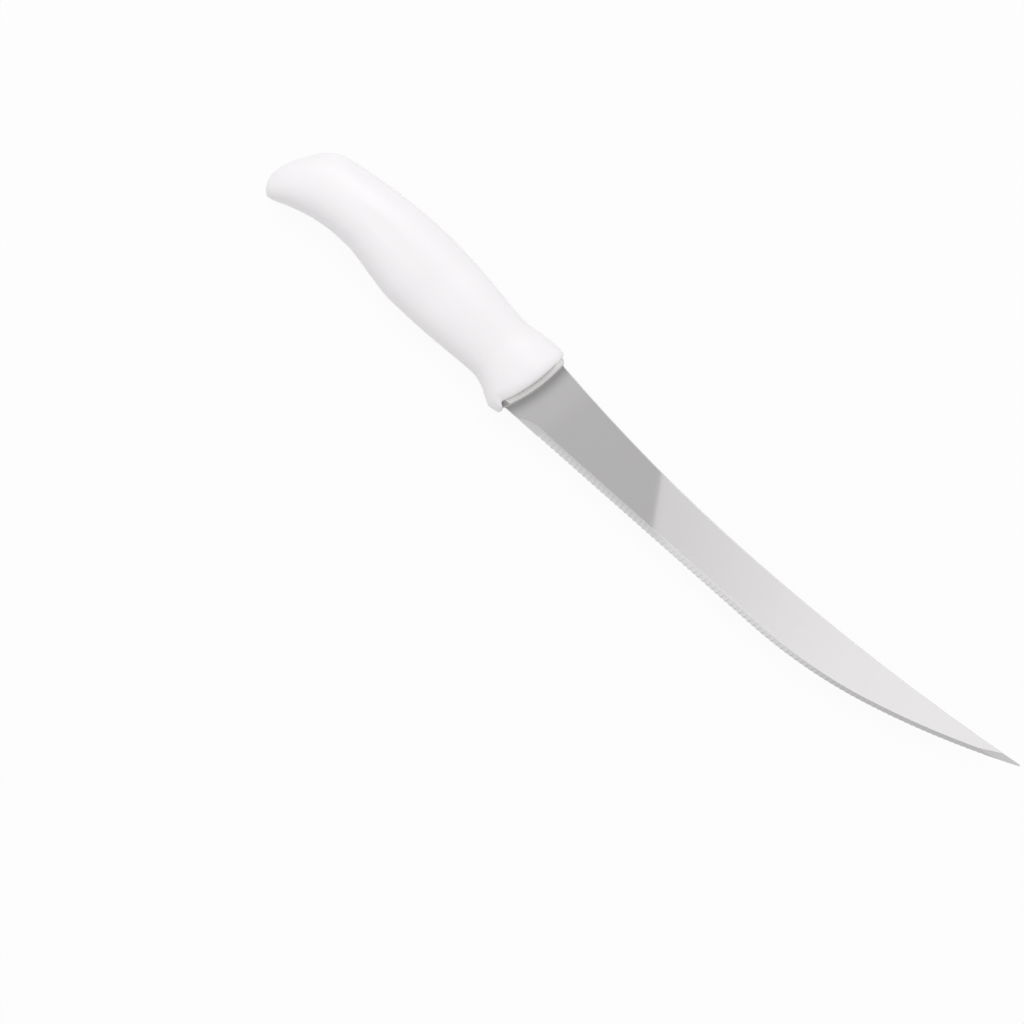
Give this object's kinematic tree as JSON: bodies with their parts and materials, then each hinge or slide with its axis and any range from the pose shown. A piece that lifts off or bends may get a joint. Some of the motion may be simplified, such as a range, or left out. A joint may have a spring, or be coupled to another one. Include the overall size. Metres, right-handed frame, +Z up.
{
  "type": "kitchen knife",
  "caption": "Tomato knife with a slim upswept blade, a finely toothed cutting edge and a moulded plastic handle with a hooked butt and flared guard.",
  "frame": {"origin": "on the surface the knife lies on, under the middle of its bounding box", "axes": "+X along the straight cutting edge towards the point, +Y from the edge to the spine, +Z up through the thickness, out of the right side of the knife"},
  "size_m": [0.3128, 0.0336, 0.019],
  "materials": {
    "blade_steel": "satin ground stainless steel",
    "core_plastic": "smooth moulded polypropylene, pale grey-white",
    "shell_plastic": "smooth moulded polypropylene, white with a soft sheen"
  },
  "bodies": {
    "root": {"blade": "blade_steel", "handle_core": "core_plastic", "handle_shell": "shell_plastic"}
  },
  "joints": []
}
